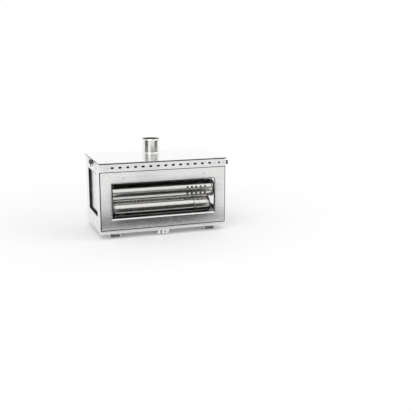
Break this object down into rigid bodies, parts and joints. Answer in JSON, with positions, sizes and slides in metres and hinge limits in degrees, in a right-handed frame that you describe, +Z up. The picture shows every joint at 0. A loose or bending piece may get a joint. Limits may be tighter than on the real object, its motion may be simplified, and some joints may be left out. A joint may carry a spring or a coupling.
{
  "type": "outdoor wood stove",
  "caption": "Portable stainless wood stove: glazed firebox, drop-down side door, air sliders, flue collar, folding legs and stored flue sections.",
  "frame": {"origin": "on the ground, under the middle of the stove's overall box", "axes": "+Z up, -Y to the glazed front, +X to the stove's right as seen from the front"},
  "size_m": [0.462, 0.25, 0.31],
  "materials": {
    "polished_steel": "bright polished stainless sheet with faint rolling grain",
    "plate_steel": "mirror-bright stainless cooktop plate",
    "flue_steel": "thin rolled stainless, bright with lengthwise draw lines",
    "inner_steel": "heat-dulled satin stainless inside the firebox",
    "fastener_steel": "turned stainless rivets and pins",
    "dark_steel": "heat-proof black coating",
    "seal_tape": "black woven glass-fibre sealing tape",
    "stove_glass": "clear flat heat-proof glass"
  },
  "bodies": {
    "stove": {"bottom_pan": "polished_steel", "left_side_panel": "polished_steel", "right_side_panel": "polished_steel", "back_panel": "polished_steel", "front_panel": "polished_steel", "front_panel_seal": "seal_tape", "front_air_strip": "polished_steel", "slider_guide_rivets": "fastener_steel", "slider_guide_washers": "fastener_steel", "cooktop_plate": "plate_steel", "cooktop_seal": "seal_tape", "flue_collar": "flue_steel", "baffle_plate": "inner_steel", "front_glass_seal": "seal_tape", "front_glass": "stove_glass", "front_glass_clips": "inner_steel", "front_panel_rivets": "fastener_steel", "right_glass_seal": "seal_tape", "right_glass": "stove_glass", "right_glass_clips": "inner_steel", "right_panel_rivets": "fastener_steel", "door_seal": "seal_tape", "door_pivot_pins": "fastener_steel", "latch_plate": "polished_steel", "latch_plate_rivets": "fastener_steel", "left_grate_ledge": "inner_steel", "right_grate_ledge": "inner_steel", "left_ledge_rivets": "fastener_steel", "right_ledge_rivets": "fastener_steel", "wood_grate": "inner_steel", "front_flue_outer": "flue_steel", "front_flue_inner": "flue_steel", "rear_flue_outer": "flue_steel", "rear_flue_inner": "flue_steel", "spark_arrestor": "flue_steel", "spark_arrestor_cap": "flue_steel", "air_slide_rails": "polished_steel", "leg_brackets": "polished_steel", "leg_pins": "fastener_steel", "back_panel_rivets": "fastener_steel"},
    "door": {"loading_door": "polished_steel", "door_liner": "inner_steel"},
    "latch": {"latch_knob": "dark_steel", "latch_shaft": "fastener_steel", "latch_cam": "inner_steel", "latch_retaining_ring": "fastener_steel"},
    "top_air_slider": {"air_slider_strip": "polished_steel", "air_slider_tab": "dark_steel", "air_slider_pin": "fastener_steel"},
    "bottom_air_slide": {"primary_air_slide": "polished_steel"},
    "leg_front_left": {"front_left_leg": "polished_steel"},
    "leg_front_right": {"front_right_leg": "polished_steel"},
    "leg_back_left": {"back_left_leg": "polished_steel"},
    "leg_back_right": {"back_right_leg": "polished_steel"}
  },
  "joints": [
    {"name": "door_hinge", "type": "hinge", "parent": "stove", "child": "door", "pos_m": [-0.211, 0, 0.0795], "axis": [0, -1, 0], "range_deg": [0, 90]},
    {"name": "latch_turn", "type": "hinge", "parent": "stove", "child": "latch", "pos_m": [-0.219, 0, 0.248], "axis": [-1, 0, 0], "range_deg": [0, 90]},
    {"name": "air_slider_travel", "type": "slide", "parent": "stove", "child": "top_air_slider", "axis": [1, 0, 0], "range_m": [0, 0.012]},
    {"name": "bottom_slide_travel", "type": "slide", "parent": "stove", "child": "bottom_air_slide", "axis": [0, -1, 0], "range_m": [0, 0.02]},
    {"name": "leg_front_left_fold", "type": "hinge", "parent": "stove", "child": "leg_front_left", "pos_m": [-0.17, -0.092, 0.008], "axis": [-1, 0, 0], "range_deg": [0, 90]},
    {"name": "leg_front_right_fold", "type": "hinge", "parent": "stove", "child": "leg_front_right", "pos_m": [0.17, -0.092, 0.008], "axis": [-1, 0, 0], "range_deg": [0, 90]},
    {"name": "leg_back_left_fold", "type": "hinge", "parent": "stove", "child": "leg_back_left", "pos_m": [-0.17, 0.092, 0.008], "axis": [1, 0, 0], "range_deg": [0, 90]},
    {"name": "leg_back_right_fold", "type": "hinge", "parent": "stove", "child": "leg_back_right", "pos_m": [0.17, 0.092, 0.008], "axis": [1, 0, 0], "range_deg": [0, 90]}
  ]
}
